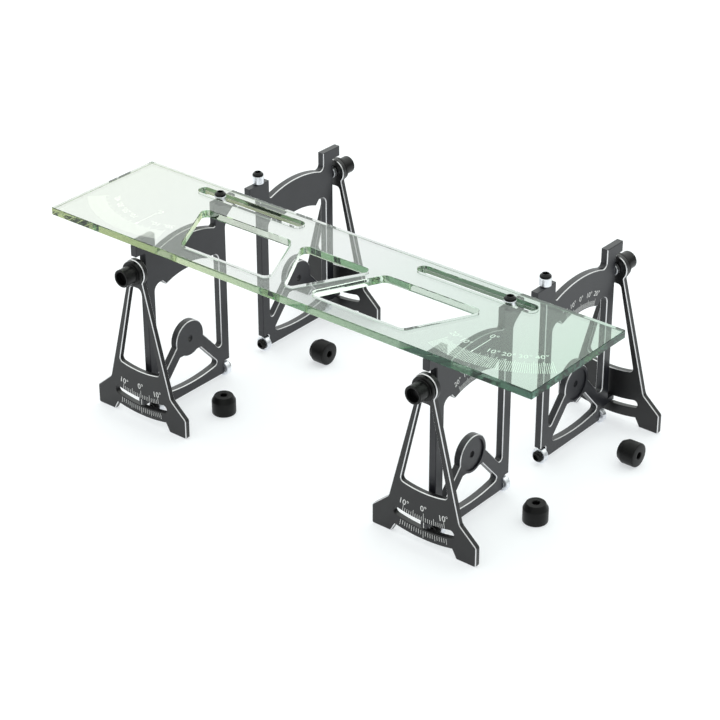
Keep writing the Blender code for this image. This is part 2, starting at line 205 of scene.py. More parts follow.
def rounded(corners):
    """A closed outline through (x, y) points and (x, y, radius) corners, which it rounds."""
    outline = []
    for i, corner in enumerate(corners):
        here = Vector(corner[:2])
        if len(corner) == 2:
            outline.append(tuple(here))
            continue
        radius = corner[2]
        back = (Vector(corners[i - 1][:2]) - here).normalized()
        ahead = (Vector(corners[(i + 1) % len(corners)][:2]) - here).normalized()
        half = back.angle(ahead) / 2
        centre = here + (back + ahead).normalized() * radius / math.sin(half)
        start = here + back * radius / math.tan(half) - centre
        end = here + ahead * radius / math.tan(half) - centre
        first = math.degrees(math.atan2(start.y, start.x))
        turn = math.degrees(math.atan2(start.cross(end), start.dot(end)))
        outline += arc(centre, radius, first, first + turn)
    return outline


def mirrored(half):
    """The half outline followed by its mirror image about x = 0, in reverse order."""
    return half + [(-p[0], *p[1:]) for p in reversed(half)]


def main_plate_outline():
    tab_outer, tab_inner = TAB_Y
    block_outer, block_inner = BLOCK_Y

    def arch_deg(y):
        return math.degrees(math.acos((y - HUB[0]) / ARCH_R))

    def arch_z(y):
        return HUB[1] + math.sqrt(ARCH_R**2 - (y - HUB[0]) ** 2)

    return rounded([
        (BASE_Y[0], BASE_Z, 0.8),
        (BASE_Y[1], BASE_Z),
        (BASE_Y[1], 8.3),
        (59.8, 9.0),
        (POST_INNER[1], 9.0),
        (POST_INNER[1], 85.8, 5.0),
        (block_inner, 92.0),
        (block_inner, TOP_Z),
        (block_outer, TOP_Z),
        (block_outer, arch_z(block_outer), 1.2),
        *arc(HUB, ARCH_R, arch_deg(block_outer - 3), arch_deg(tab_inner + 5)),
        (tab_inner, arch_z(tab_inner), 2.5),
        (tab_inner, TOP_Z),
        (tab_outer, TOP_Z),
        (tab_outer, 91.2),
        (POST_OUTER[0], 91.2, 1.0),
        (POST_OUTER[0], POINTER_Z[1]),
        (GAP, POINTER_Z[1]),
        (GAP, POINTER_Z[0]),
        (POST_OUTER[0], POINTER_Z[0]),
        (POST_OUTER[0], OUTER_NOTCH_Z),
        (BASE_Y[0], OUTER_NOTCH_Z),
    ])


def upper_window():
    """Between the posts, over the hub boss and its two arms, under the caster scale's arc."""
    post = POST_INNER[0]
    mirror = 2 * HUB[0]
    return rounded([
        *arc(HUB, BOSS_R, 190, -10),
        (post, WINDOW_FOOT_Z, 1.7),
        (post, WINDOW_TOP_Z, 3.8),
        (WINDOW_HOOK_Y, WINDOW_TOP_Z),
        *arc(HUB, WINDOW_ARC_R, WINDOW_ARC_DEG, 180 - WINDOW_ARC_DEG),
        (mirror - WINDOW_HOOK_Y, WINDOW_TOP_Z),
        (mirror - post, WINDOW_TOP_Z, 3.8),
        (mirror - post, WINDOW_FOOT_Z, 1.7),
    ])


def lower_window():
    """Under the hub boss and its arms, over the base bar."""
    corner = (55.4, 9.76, 1.8)
    shoulder = (42.3, 24.4)
    mirror = 2 * HUB[0]
    return rounded([
        (mirror - shoulder[0], shoulder[1]),
        *arc(HUB, BOSS_UNDER_R, 239.5, 300.5),
        shoulder,
        corner,
        *arc((HUB[0], BASE_TOP_Z + BASE_ARC_R), BASE_ARC_R, 280, 260),
        (mirror - corner[0], *corner[1:]),
    ])


def camber_plate_loops():
    """The A-frame's outline, its window, the curved slot and the pivot hole."""
    pivot = (0.0, PIVOT_Z)
    half = [
        *arc(pivot, ARCH_UNDER_R, -90, ARCH_UNDER_END_DEG)[1:],
        (FOOT_INNER, 0.0),
        (FOOT_HALF, 0.0, 1.0),
        (FOOT_HALF, 10.2, 1.5),
        (20.4, 18.6, 4.0),
        (4.98, 78.23, 1.5),
        *arc(pivot, HEAD_R, -30, 80),
    ]
    window = [(13.7, 29.65, 2.0), (3.35, 74.4, 2.0)]
    end = math.radians(SLOT_END_DEG)
    right_end = (SLOT_R * math.sin(end), PIVOT_Z - SLOT_R * math.cos(end))
    left_end = (-right_end[0], right_end[1])
    slot = (
        arc(pivot, SLOT_R + SLOT_HALF, -90 - SLOT_END_DEG, -90 + SLOT_END_DEG)[:-1]
        + arc(right_end, SLOT_HALF, -90 + SLOT_END_DEG, 90 + SLOT_END_DEG)[:-1]
        + arc(pivot, SLOT_R - SLOT_HALF, -90 + SLOT_END_DEG, -90 - SLOT_END_DEG)[:-1]
        + arc(left_end, SLOT_HALF, 90 - SLOT_END_DEG, 270 - SLOT_END_DEG)[:-1]
    )
    window_floor = arc(pivot, WINDOW_FLOOR_R, -100, -80)
    return [rounded(mirrored(half)), rounded(window_floor + mirrored(window)), slot, circle(pivot, HOLE_R)]


def toe_plate_loops():
    """The clear plate's outline and middle triangle, then each side's slot and larger window."""
    half = TOE_LENGTH / 2
    near, far = CUTOUT_Y
    outline = rounded([
        (-half, TOE_Y[0], TOE_CORNER_R),
        (half, TOE_Y[0], TOE_CORNER_R),
        (half, TOE_Y[1], TOE_CORNER_R),
        (-half, TOE_Y[1], TOE_CORNER_R),
    ])
    middle = rounded([(-2.0, near, 2.0), (2.0, near, 2.0), (22.0, far, 3.0), (-22.0, far, 3.0)])
    loops = [outline, middle]
    slot_ends = (TOE_SLOT_X[0] + TOE_SLOT_HALF, TOE_SLOT_X[1] - TOE_SLOT_HALF)
    for side in (-1, 1):
        low, high = sorted(side * x for x in slot_ends)
        loops.append(arc((high, pin_line()), TOE_SLOT_HALF, -90, 90)
                     + arc((low, pin_line()), TOE_SLOT_HALF, 90, 270))
        corners = [(11.7, near, 3.0), (67.5, near, 4.5), (86.1, far, 3.0), (28.8, far, 4.5)]
        loops.append(rounded([(side * x, y, r) for x, y, r in corners]))
    return loops


def pin_line():
    """Where the front toe pins are along y, in millimetres."""
    low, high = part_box("front_left_toe_sleeve")
    return (low.y + high.y) / 2 / MM


# ---------------------------------------------------------------- meshes


def signed_area(loop):
    return sum(a[0] * b[1] - b[0] * a[1] for a, b in zip(loop, loop[1:] + loop[:1])) / 2


def inset(loop, distance):
    """The loop moved to the left of its own direction, with mitred corners."""
    moved = []
    for i, point in enumerate(loop):
        here = Vector(point)
        back = (here - Vector(loop[i - 1])).normalized()
        ahead = (Vector(loop[(i + 1) % len(loop)]) - here).normalized()
        left_back, left_ahead = Vector((-back.y, back.x)), Vector((-ahead.y, ahead.x))
        share = max(1 + left_back.dot(left_ahead), MITRE_LIMIT)
        moved.append(here + (left_back + left_ahead) * distance / share)
    return moved


def slab(loops, across, low, high, edges, walls=None, plain=None):
    """A plate with chamfered edges, in metres: the first loop is outside, the rest are holes.

    Each loop has its own chamfer size. If walls is given it has its own material slot too, for its wall and
    chamfers. Otherwise the chamfers take slot 1, except where plain says that they keep the plate's finish.
    """
    bm = bmesh.new()
    others = [axis for axis in range(3) if axis != across]

    def ring(loop, height):
        verts = []
        for point in loop:
            place = [0.0, 0.0, 0.0]
            place[others[0]], place[others[1]], place[across] = point[0] * MM, point[1] * MM, height * MM
            verts.append(bm.verts.new(place))
        return verts

    rims = ([], [])
    for number, loop in enumerate(loops):
        outside = number == 0
        if (signed_area(loop) > 0) != outside:
            loop = loop[::-1]
        edge = edges[number]
        narrow = inset(loop, edge)
        rings = [ring(narrow, low), ring(loop, low + edge), ring(loop, high - edge), ring(narrow, high)]
        for step in range(3):
            for i in range(len(loop)):
                j = (i + 1) % len(loop)
                low_ring, high_ring = rings[step], rings[step + 1]
                face = bm.faces.new((low_ring[i], low_ring[j], high_ring[j], high_ring[i]))
                if walls:
                    face.material_index = walls[number]
                elif step != 1 and not (plain and plain(number, step, loop[i], loop[j])):
                    face.material_index = 1
        for rim, verts in zip(rims, (rings[0], rings[3])):
            rim += [bm.edges.get((verts[i - 1], verts[i])) for i in range(len(verts))]
    for rim in rims:
        bmesh.ops.triangle_fill(bm, edges=rim, use_beauty=True, use_dissolve=False)
    bmesh.ops.recalc_face_normals(bm, faces=bm.faces[:])
    return bm


def turned(profile, steps=TURN_STEPS):
    """A body turned about Z from a closed (radius, z) profile."""
    bm = bmesh.new()
    rings = []
    for radius, height in profile:
        if radius == 0:
            rings.append([bm.verts.new((0, 0, height * MM))] * steps)
            continue
        turns = [2 * math.pi * i / steps for i in range(steps)]
        rings.append([
            bm.verts.new((radius * math.cos(a) * MM, radius * math.sin(a) * MM, height * MM)) for a in turns
        ])
    for ring, following in zip(rings, rings[1:] + rings[:1]):
        for i in range(steps):
            j = (i + 1) % steps
            corners = list(dict.fromkeys([ring[i], ring[j], following[j], following[i]]))
            if len(corners) > 2:
                bm.faces.new(corners)
    bmesh.ops.recalc_face_normals(bm, faces=bm.faces[:])
    return bm


def mesh_from(bm, name):
    mesh = bpy.data.meshes.new(name)
    bm.to_mesh(mesh)
    bm.free()
    return mesh


def rod(radius, low, high, steps=TURN_STEPS):
    """A plain cylinder along Z."""
    return turned([(0, low), (radius, low), (radius, high), (0, high)], steps)


def cut(bm, cutters, name):
    """The body's mesh with the cutters' bmeshes removed by an exact Boolean."""
    body = bpy.data.objects.new(name + "_blank", mesh_from(bm, name + "_blank"))
    bpy.context.scene.collection.objects.link(body)
    helpers = [body]
    for cutter_bm in cutters:
        cutter = bpy.data.objects.new(name + "_cutter", mesh_from(cutter_bm, name + "_cutter"))
        bpy.context.scene.collection.objects.link(cutter)
        helpers.append(cutter)
        boolean = body.modifiers.new("cut", "BOOLEAN")
        boolean.operation = "DIFFERENCE"
        boolean.solver = "EXACT"
        boolean.object = cutter
    bpy.context.view_layer.update()
    result = bpy.data.meshes.new_from_object(body.evaluated_get(bpy.context.evaluated_depsgraph_get()))
    result.name = name
    for helper in helpers:
        bpy.data.objects.remove(helper)
    return result


def moved(bm, matrix):
    bmesh.ops.transform(bm, matrix=matrix, verts=bm.verts[:])
    return bm


def place_at(x, y, z):
    return Matrix.Translation((x * MM, y * MM, z * MM))


def along_y():
    """Turns a body made about +Z so that it lies along +Y."""
    return Matrix.Rotation(math.radians(-90), 4, "X")


# ---------------------------------------------------------------- materials


def new_material(name):
    made = bpy.data.materials.new(name)
    made.use_nodes = True
    return made, made.node_tree.nodes, made.node_tree.links, made.node_tree.nodes["Principled BSDF"]


def texture(nodes, links, kind, scale, **settings):
    """A texture node fed by object coordinates."""
    coordinates = nodes.new("ShaderNodeTexCoord")
    made = nodes.new(kind)
    made.inputs["Scale"].default_value = scale
    for key, value in settings.items():
        made.inputs[key].default_value = value
    links.new(coordinates.outputs["Object"], made.inputs["Vector"])
    return made


def ramp(nodes, links, source, low, high, low_at=0.3, high_at=0.7):
    """A two-colour ramp fed by a texture's Fac."""
    made = nodes.new("ShaderNodeValToRGB")
    made.color_ramp.elements[0].position = low_at
    made.color_ramp.elements[1].position = high_at
    made.color_ramp.elements[0].color = (*low, 1)
    made.color_ramp.elements[1].color = (*high, 1)
    links.new(source, made.inputs["Fac"])
    return made.outputs["Color"]


def spread(nodes, links, source, low, high):
    """A 0 to 1 value mapped to low to high."""
    made = nodes.new("ShaderNodeMapRange")
    made.inputs["To Min"].default_value = low
    made.inputs["To Max"].default_value = high
    links.new(source, made.inputs["Value"])
    return made.outputs["Result"]


def bump(nodes, links, shader, source, distance, strength):
    made = nodes.new("ShaderNodeBump")
    made.inputs["Distance"].default_value = distance
    made.inputs["Strength"].default_value = strength
    links.new(source, made.inputs["Height"])
    links.new(made.outputs["Normal"], shader.inputs["Normal"])


def anodised(name, dark, light, roughness, specular=0.5):
    """Satin black anodising: a very fine grain over a faint mottle."""
    made, nodes, links, shader = new_material(name)
    mottle = texture(nodes, links, "ShaderNodeTexNoise", 120, Detail=4, Roughness=0.6)
    grain = texture(nodes, links, "ShaderNodeTexNoise", 4200, Detail=2, Roughness=0.5)
    links.new(ramp(nodes, links, mottle.outputs["Fac"], dark, light), shader.inputs["Base Color"])
    links.new(spread(nodes, links, grain.outputs["Fac"], roughness - 0.06, roughness + 0.06),
              shader.inputs["Roughness"])
    shader.inputs["Specular IOR Level"].default_value = specular
    bump(nodes, links, shader, grain.outputs["Fac"], 0.00002, 0.25)
    return made


def bright_metal(name, dark, light, roughness, line_scale):
    """Turned or cut bare metal: fine tool lines along the local z axis."""
    made, nodes, links, shader = new_material(name)
    lines = texture(nodes, links, "ShaderNodeTexWave", line_scale, Distortion=0.6, Detail=2)
    lines.bands_direction = "Z"
    smudge = texture(nodes, links, "ShaderNodeTexNoise", 300, Detail=3)
    links.new(ramp(nodes, links, smudge.outputs["Fac"], dark, light), shader.inputs["Base Color"])
    links.new(spread(nodes, links, lines.outputs["Fac"], roughness - 0.05, roughness + 0.07),
              shader.inputs["Roughness"])
    shader.inputs["Metallic"].default_value = 1.0
    bump(nodes, links, shader, lines.outputs["Fac"], 0.00001, 0.3)
    return made


def engraving(name, painted_glow=0.0):
    """The white lines of a scale, slightly uneven. Those in glass are given an emission glow, painted light
    that stands in for the light reaching them through the glass.
    """
    made, nodes, links, shader = new_material(name)
    speckle = texture(nodes, links, "ShaderNodeTexNoise", 2500, Detail=2)
    links.new(ramp(nodes, links, speckle.outputs["Fac"], (0.7, 0.7, 0.69), (0.92, 0.92, 0.91)),
              shader.inputs["Base Color"])
    shader.inputs["Roughness"].default_value = 0.7
    shader.inputs["Emission Color"].default_value = (0.93, 1.0, 0.95, 1)
    shader.inputs["Emission Strength"].default_value = painted_glow
    return made


def green_glass(name, painted_tints):
    """Clear green glass whose base colour drifts along the plate: painted light and painted shade, lighter
    or darker from one end to the other in place of reflections. Its body takes up red and blue.
    """
    made, nodes, links, shader = new_material(name)
    coordinates = nodes.new("ShaderNodeTexCoord")
    split = nodes.new("ShaderNodeSeparateXYZ")
    links.new(coordinates.outputs["Object"], split.inputs["Vector"])
    along = nodes.new("ShaderNodeMapRange")
    along.inputs["From Min"].default_value = -TOE_LENGTH / 2 * MM
    along.inputs["From Max"].default_value = TOE_LENGTH / 2 * MM
    links.new(split.outputs["X"], along.inputs["Value"])
    # Painted light and shade: the base colour changes from left to right along the plate, standing in for
    # reflections and shade that differ along it
    painted_drift = nodes.new("ShaderNodeValToRGB")
    painted_drift.color_ramp.elements[0].color = (*painted_tints[0], 1)
    painted_drift.color_ramp.elements[1].color = (*painted_tints[2], 1)
    painted_drift.color_ramp.elements.new(0.5).color = (*painted_tints[1], 1)
    links.new(along.outputs["Result"], painted_drift.inputs["Fac"])
    links.new(painted_drift.outputs["Color"], shader.inputs["Base Color"])
    smear = texture(nodes, links, "ShaderNodeTexNoise", 25, Detail=3)
    links.new(spread(nodes, links, smear.outputs["Fac"], 0.0, 0.015), shader.inputs["Roughness"])
    shader.inputs["IOR"].default_value = 1.5
    shader.inputs["Transmission Weight"].default_value = 1.0
    shader.inputs["Specular Tint"].default_value = (0.85, 1.0, 0.91, 1)
    body = nodes.new("ShaderNodeVolumeAbsorption")
    body.inputs["Color"].default_value = (0.82, 0.97, 0.86, 1)
    body.inputs["Density"].default_value = 9.0
    links.new(body.outputs["Volume"], nodes["Material Output"].inputs["Volume"])
    return made


def floor_white(name):
    made, nodes, links, shader = new_material(name)
    grain = texture(nodes, links, "ShaderNodeTexNoise", 40, Detail=2)
    links.new(ramp(nodes, links, grain.outputs["Fac"], (0.50, 0.505, 0.51), (0.51, 0.515, 0.52)),
              shader.inputs["Base Color"])
    shader.inputs["Roughness"].default_value = 0.9
    shader.inputs["Specular IOR Level"].default_value = 0.0
    shader.inputs["Emission Color"].default_value = (0.95, 0.975, 1.0, 1)
    shader.inputs["Emission Strength"].default_value = 0.55
    return made


MATERIALS = {
    "plate": anodised("plate_anodised", (0.005, 0.0055, 0.009), (0.009, 0.0095, 0.014), 0.36, 0.55),
    "frame": anodised("frame_anodised", (0.0035, 0.0035, 0.004), (0.006, 0.006, 0.007), 0.36),
    "black": anodised("turned_black", (0.003, 0.003, 0.003), (0.006, 0.006, 0.006), 0.3, 0.25),
    "nut": anodised("nut_anodised", (0.002, 0.002, 0.002), (0.004, 0.004, 0.004), 0.4, 0.22),
    "edge": bright_metal("cut_edge", (0.70, 0.70, 0.71), (0.82, 0.82, 0.83), 0.34, 900),
    "bright": bright_metal("turned_bright", (0.80, 0.82, 0.86), (0.88, 0.90, 0.94), 0.36, 1400),
    "steel": bright_metal("turned_steel", (0.50, 0.51, 0.53), (0.58, 0.59, 0.61), 0.3, 1400),
    "white": engraving("scale_white"),
    # The glass: a green tint plus painted light, greyer at the left end and greener at the right
    "glass": green_glass("toe_plate_glass_tint_and_painted_light", ((0.67, 0.68, 0.63), (0.65, 0.65, 0.65), (0.47, 0.58, 0.50))),
    # Wall copies of the glass: the rim and slot walls are darkened by painted shade, the rim to near black
    # at the right end, and the window walls are lightened by painted light
    "glass_rim_painted_shade": green_glass("toe_plate_rim_painted_shade", ((0.40, 0.42, 0.2), (0.12, 0.19, 0.1), (0.02, 0.05, 0.045))),
    "glass_cut_painted_light": green_glass("toe_plate_cut_painted_light", ((0.80, 0.84, 0.70), (0.72, 0.80, 0.72), (0.60, 0.72, 0.66))),
    "glass_slot_painted_shade": green_glass("toe_plate_slot_painted_shade", ((0.36, 0.37, 0.33), (0.36, 0.37, 0.36), (0.3, 0.36, 0.3))),
    # The marks in the glass glow: painted light in place of the light that reaches them through the glass
    "glass_mark_painted_glow": engraving("glass_mark_painted_glow", 1.1),
}


# ---------------------------------------------------------------- pieces


def add_piece(name, mesh, makers, matrix, body, replaces=()):
    """Links one visible piece, shades its round faces smooth and lets it ride on its CAD body."""
    obj = bpy.data.objects.new(name, mesh)
    bpy.context.scene.collection.objects.link(obj)
    if not mesh.materials:
        for maker in makers:
            mesh.materials.append(MATERIALS[maker])
        mesh.shade_smooth()
        mesh.set_sharp_from_angle(angle=math.radians(SMOOTH_DEG))
    obj.matrix_world = matrix
    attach(obj, body)
    if replaces:
        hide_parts(*replaces)
    return obj


def stand_matrix(name):
    """The stand's own frame at rest, without scale."""
    low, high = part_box(name + "_camber_plate")
    faces = STANDS[name]["faces"]
    y = low.y if faces > 0 else high.y
    turn = Matrix.Rotation(0 if faces > 0 else math.pi, 4, "Z")
    return Matrix.Translation(((low.x + high.x) / 2, y, 0)) @ turn


def main_plate_mesh(outer):
    loops = [main_plate_outline(), upper_window(), lower_window(), circle(HUB, HUB_HOLE_R)]

    def plain(number, step, start, end):
        """Edges that keep their black finish.

        They are the hub's hole, the outer post, tab and pointer, the block under the toe pin, the top, and
        the inner post on the face without the recess.
        """
        outside = max(start[0], end[0]) <= POST_OUTER[0] + 0.5
        on_block = min(start[0], end[0]) > BLOCK_Y[0] - 0.5 and min(start[1], end[1]) > 85
        on_top = min(start[1], end[1]) > TOP_Z - 0.5
        tall = start[0] == end[0] and abs(start[1] - end[1]) > 20
        return number == 3 or number == 0 and (
            outside or on_block or on_top or tall and step == (0 if outer > 0 else 2)
        )

    body = slab(loops, 0, -PLATE_HALF, PLATE_HALF, (EDGE, EDGE, EDGE, HOLE_EDGE), plain=plain)
    facing = Matrix.Rotation(math.radians(90 * outer), 4, "Y")
    recess = moved(rod(RECESS_R, PLATE_HALF - RECESS_DEEP, PLATE_HALF + 1), place_at(0, *HUB) @ facing)
    stud_hole = moved(rod(HOLE_R, *STUD_HOLE_Y), place_at(0, 0, PIVOT_Z) @ along_y())
    roller_axis = place_at(0, 0, ROLLER_R) @ along_y()
    outer_hole = moved(rod(HOLE_R, OUTER_ROLLER_Y[1], ROLLER_HOLE_Y[0]), roller_axis)
    roller_hole = moved(rod(HOLE_R, ROLLER_HOLE_Y[1], ROLLER_Y[1]), roller_axis)
    pin_hole = moved(rod(HOLE_R, PIN_HOLE_Z, TOP_Z + 1), place_at(0, PIN_Y, 0))
    return cut(body, [recess, stud_hole, outer_hole, roller_hole, pin_hole], "main_plate")


def camber_plate_mesh():
    def plain(number, *_):
        """The slot's edges keep their black finish."""
        return number == 2

    edges = (EDGE, EDGE, SLOT_EDGE, HOLE_EDGE)
    return mesh_from(slab(camber_plate_loops(), 1, 0, CAMBER_THICK, edges, plain=plain), "camber_plate")


def knob_mesh():
    """Turned about Z with its hollow end up: a flange, a small fillet and a finely chamfered barrel."""
    low, high = KNOB_FLANGE_Z
    web_low, web_high = KNOB_WEB_Z
    profile = [
        (HOLE_R, low),
        (KNOB_FLANGE_R - 0.35, low),
        (KNOB_FLANGE_R, low + 0.35),
        (KNOB_FLANGE_R, high - 0.35),
        (KNOB_FLANGE_R - 0.35, high),
        (KNOB_BARREL_R + 0.2, high),
        (KNOB_BARREL_R, high + 0.2),
        (KNOB_BARREL_R, KNOB_END_Z - 0.4),
        (KNOB_BARREL_R - 0.4, KNOB_END_Z),
        (KNOB_HOLLOW_R + 0.35, KNOB_END_Z),
        (KNOB_HOLLOW_R, KNOB_END_Z - 0.3),
        (KNOB_HOLLOW_R, web_high),
        (0, web_high),
        (0, web_low),
        (HOLE_R, web_low),
    ]
    return mesh_from(turned(profile), "camber_knob")


def ring_mesh(inner, outer, length, edge, name):
    """A ring about Z with chamfers, the bore's half as large as the rim's."""
    profile = [
        (inner + edge / 2, 0),
        (outer - edge, 0),
        (outer, edge),
        (outer, length - edge),
        (outer - edge, length),
        (inner + edge / 2, length),
        (inner, length - edge / 2),
        (inner, edge / 2),
    ]
    return mesh_from(turned(profile), name)


def roller_mesh(bore):
    """A bearing's ring about Z with a shield let into each face."""
    profile = [
        (bore, SHIELD_DEEP),
        (SHIELD_R, SHIELD_DEEP),
        (SHIELD_R + 0.05, 0.0),
        (ROLLER_R - ROLLER_EDGE, 0.0),
        (ROLLER_R, ROLLER_EDGE),
        (ROLLER_R, ROLLER_WIDE - ROLLER_EDGE),
        (ROLLER_R - ROLLER_EDGE, ROLLER_WIDE),
        (SHIELD_R + 0.05, ROLLER_WIDE),
        (SHIELD_R, ROLLER_WIDE - SHIELD_DEEP),
        (bore, ROLLER_WIDE - SHIELD_DEEP),
    ]
    return mesh_from(turned(profile), "roller_ring")


def screw_mesh(length, name):
    """A button head screw: the head's underside is z = 0 and the shank hangs below."""
    rise = HEAD_BUTTON_H - HEAD_RIM
    angles = [math.radians(deg) for deg in range(0, 49, 8)]
    dome = [(HEAD_BUTTON_R * math.cos(a), HEAD_RIM + rise * math.sin(a)) for a in angles]
    profile = [
        (0, -length),
        (SHANK_TIP_R, -length),
        (SHANK_R, 0.3 - length),
        (SHANK_R, 0),
        (HEAD_BUTTON_R, 0),
        *dome,
        (CROWN_R, HEAD_BUTTON_H),
        (0, HEAD_BUTTON_H),
    ]
    socket = rod(SOCKET_FLATS / math.sqrt(3), HEAD_BUTTON_H - SOCKET_DEEP, HEAD_BUTTON_H + 1, 6)
    return cut(turned(profile), [socket], name)


def nut_mesh():
    """A nut about Z: a rounded foot, a straight wall and a coned end."""
    profile = [
        (NUT_BORE_R, 0.3),
        (NUT_BORE_R + 0.3, 0.0),
        (5.55, 0.0),
        (5.85, 0.12),
        (6.08, 0.4),
        (NUT_R, 0.8),
        (NUT_R, 7.1),
        (6.1, 7.35),
        (4.8, 9.8),
        (4.55, NUT_HEIGHT),
        (NUT_BORE_R + 0.3, NUT_HEIGHT),
        (NUT_BORE_R, NUT_HEIGHT - 0.3),
    ]
    return mesh_from(turned(profile), "wheel_nut")


# ---------------------------------------------------------------- scales


def bar(bm, start, end, width):
    """A thin raised line between two points of the drawing plane."""
    a, b = Vector(start), Vector(end)
    side = (b - a).normalized()
    side = Vector((-side.y, side.x)) * width / 2
    corners = [a + side, a - side, b - side, b + side]
    low = [bm.verts.new((c.x, c.y, 0)) for c in corners]
    high = [bm.verts.new((c.x, c.y, MARK_DEEP)) for c in corners]
    bm.faces.new(low[::-1])
    bm.faces.new(high)
    for i in range(4):
        j = (i + 1) % 4
        bm.faces.new((low[i], low[j], high[j], high[i]))


def number(bm, text, size, place, turn_deg=0.0):
    """A number in the drawing plane, centred on place."""
    curve = bpy.data.curves.new("number", "FONT")
    curve.body = text
    curve.size = size
    curve.align_x = "CENTER"
    curve.align_y = "CENTER"
    curve.extrude = MARK_DEEP / 2
    curve.resolution_u = 3
    holder = bpy.data.objects.new("number", curve)
    bpy.context.scene.collection.objects.link(holder)
    bpy.context.view_layer.update()
    mesh = bpy.data.meshes.new_from_object(holder.evaluated_get(bpy.context.evaluated_depsgraph_get()))
    turn = Matrix.Rotation(math.radians(turn_deg), 4, "Z")
    mesh.transform(Matrix.Translation((place[0], place[1], MARK_DEEP / 2)) @ turn)
    bm.from_mesh(mesh)
    bpy.data.objects.remove(holder)
    bpy.data.meshes.remove(mesh)


def polar(centre, radius, deg):
    """A point at deg from straight up, clockwise."""
    a = math.radians(deg)
    return (centre[0] + radius * math.sin(a), centre[1] + radius * math.cos(a))


def add_marks(name, bm, plane, body, maker="white"):
    bmesh.ops.scale(bm, vec=(MM, MM, MM), verts=bm.verts[:])
    return add_piece(name, mesh_from(bm, name), [maker], plane, body)


def plane_matrix(origin, right, up):
    """A drawing plane at origin, in millimetres of the parent frame, with its marks standing out of it."""
    right, up = Vector(right), Vector(up)
    out = right.cross(up)
    rows = Matrix((right, up, out)).transposed().to_4x4()
    return Matrix.Translation(Vector(origin) * MM) @ rows


def camber_scale(name, stand):
    """Degrees either side of upright, above and below the camber plate's slot."""
    bm = bmesh.new()
    pivot = (0, PIVOT_Z)
    for deg in range(-10, 11):
        down = 180 + deg
        kind = 0 if deg == 0 else 1 if deg % 5 == 0 else 2
        bar(bm, polar(pivot, CAMBER_TICKS_OVER[kind], down), polar(pivot, CAMBER_TICKS_OVER[3], down), 0.2)
        bar(bm, polar(pivot, CAMBER_TICKS_UNDER[3], down), polar(pivot, CAMBER_TICKS_UNDER[kind], down), 0.2)
    for deg in (-10, 0, 10):
        radius = CAMBER_NUMBERS[0] if deg == 0 else CAMBER_NUMBERS[1]
        number(bm, f"{abs(deg)}°", 4.2, polar(pivot, radius, 180 + deg), -deg)
    plane = plane_matrix((0, 0, 0), (1, 0, 0), (0, 0, 1))
    add_marks(name + "_camber_scale", bm, stand @ plane, name + "_camber_frame")
    pointer = bmesh.new()
    bar(pointer, (0, POINTER_Z[0] + 0.1), (0, POINTER_Z[1] - 0.1), 0.35)
    plane = plane_matrix((0, GAP, 0), (1, 0, 0), (0, 0, 1))
    add_marks(name + "_pointer_line", pointer, stand @ plane, name + "_stand")


def caster_scale(name, stand, outer):
    """Degrees either side of upright, along the top of the main plate's window."""
    bm = bmesh.new()
    under, plain_top, long_top = CASTER_TICKS
    for deg in range(-20, 21):
        top = long_top if deg % 10 == 0 else plain_top
        bar(bm, polar((0, 0), under, deg), polar((0, 0), top, deg), 0.16)
    for deg in range(-20, 21, 10):
        number(bm, f"{abs(deg)}°", 3.6, polar((0, 0), CASTER_NUMBERS, deg), -deg)
    plane = plane_matrix((outer * PLATE_HALF, HUB[0], CASTER_CENTRE_Z), (0, outer, 0), (0, 0, 1))
    add_marks(name + "_caster_scale", bm, stand @ plane, name + "_stand")


def toe_scale(side):
    """A fan of degrees about the pin's outermost place, on the toe plate's underside."""
    bm = bmesh.new()
    long_start, plain_start, end = TOE_TICKS
    for deg in range(-20, 46):
        start = long_start if deg % 5 == 0 else plain_start
        bar(bm, polar((0, 0), start, 180 - deg), polar((0, 0), end, 180 - deg), 0.28)
    bar(bm, (0, -TOE_ZERO_LINE[0]), (0, -TOE_ZERO_LINE[1]), 0.4)
    number(bm, "0°", 4.6, (0, -TOE_ZERO_NUMBER))
    for deg in (-20, -10, 10, 20, 30, 40):
        number(bm, f"{abs(deg)}°", 4.6, polar((0, 0), TOE_NUMBERS, 180 - deg), deg)
    if side < 0:
        bmesh.ops.scale(bm, vec=(-1, 1, 1), verts=bm.verts[:])
        bmesh.ops.reverse_faces(bm, faces=bm.faces[:])
    # The toe scale's marks glow with painted light
    origin = (side * TOE_SCALE_X, pin_line(), TOE_Z[0] - MARK_DEEP - 0.02)
    plane = plane_matrix(origin, (1, 0, 0), (0, 1, 0))
    add_marks(f"toe_scale_{'left' if side < 0 else 'right'}", bm, plane, "toe_plate", "glass_mark_painted_glow")


# ---------------------------------------------------------------- assembly


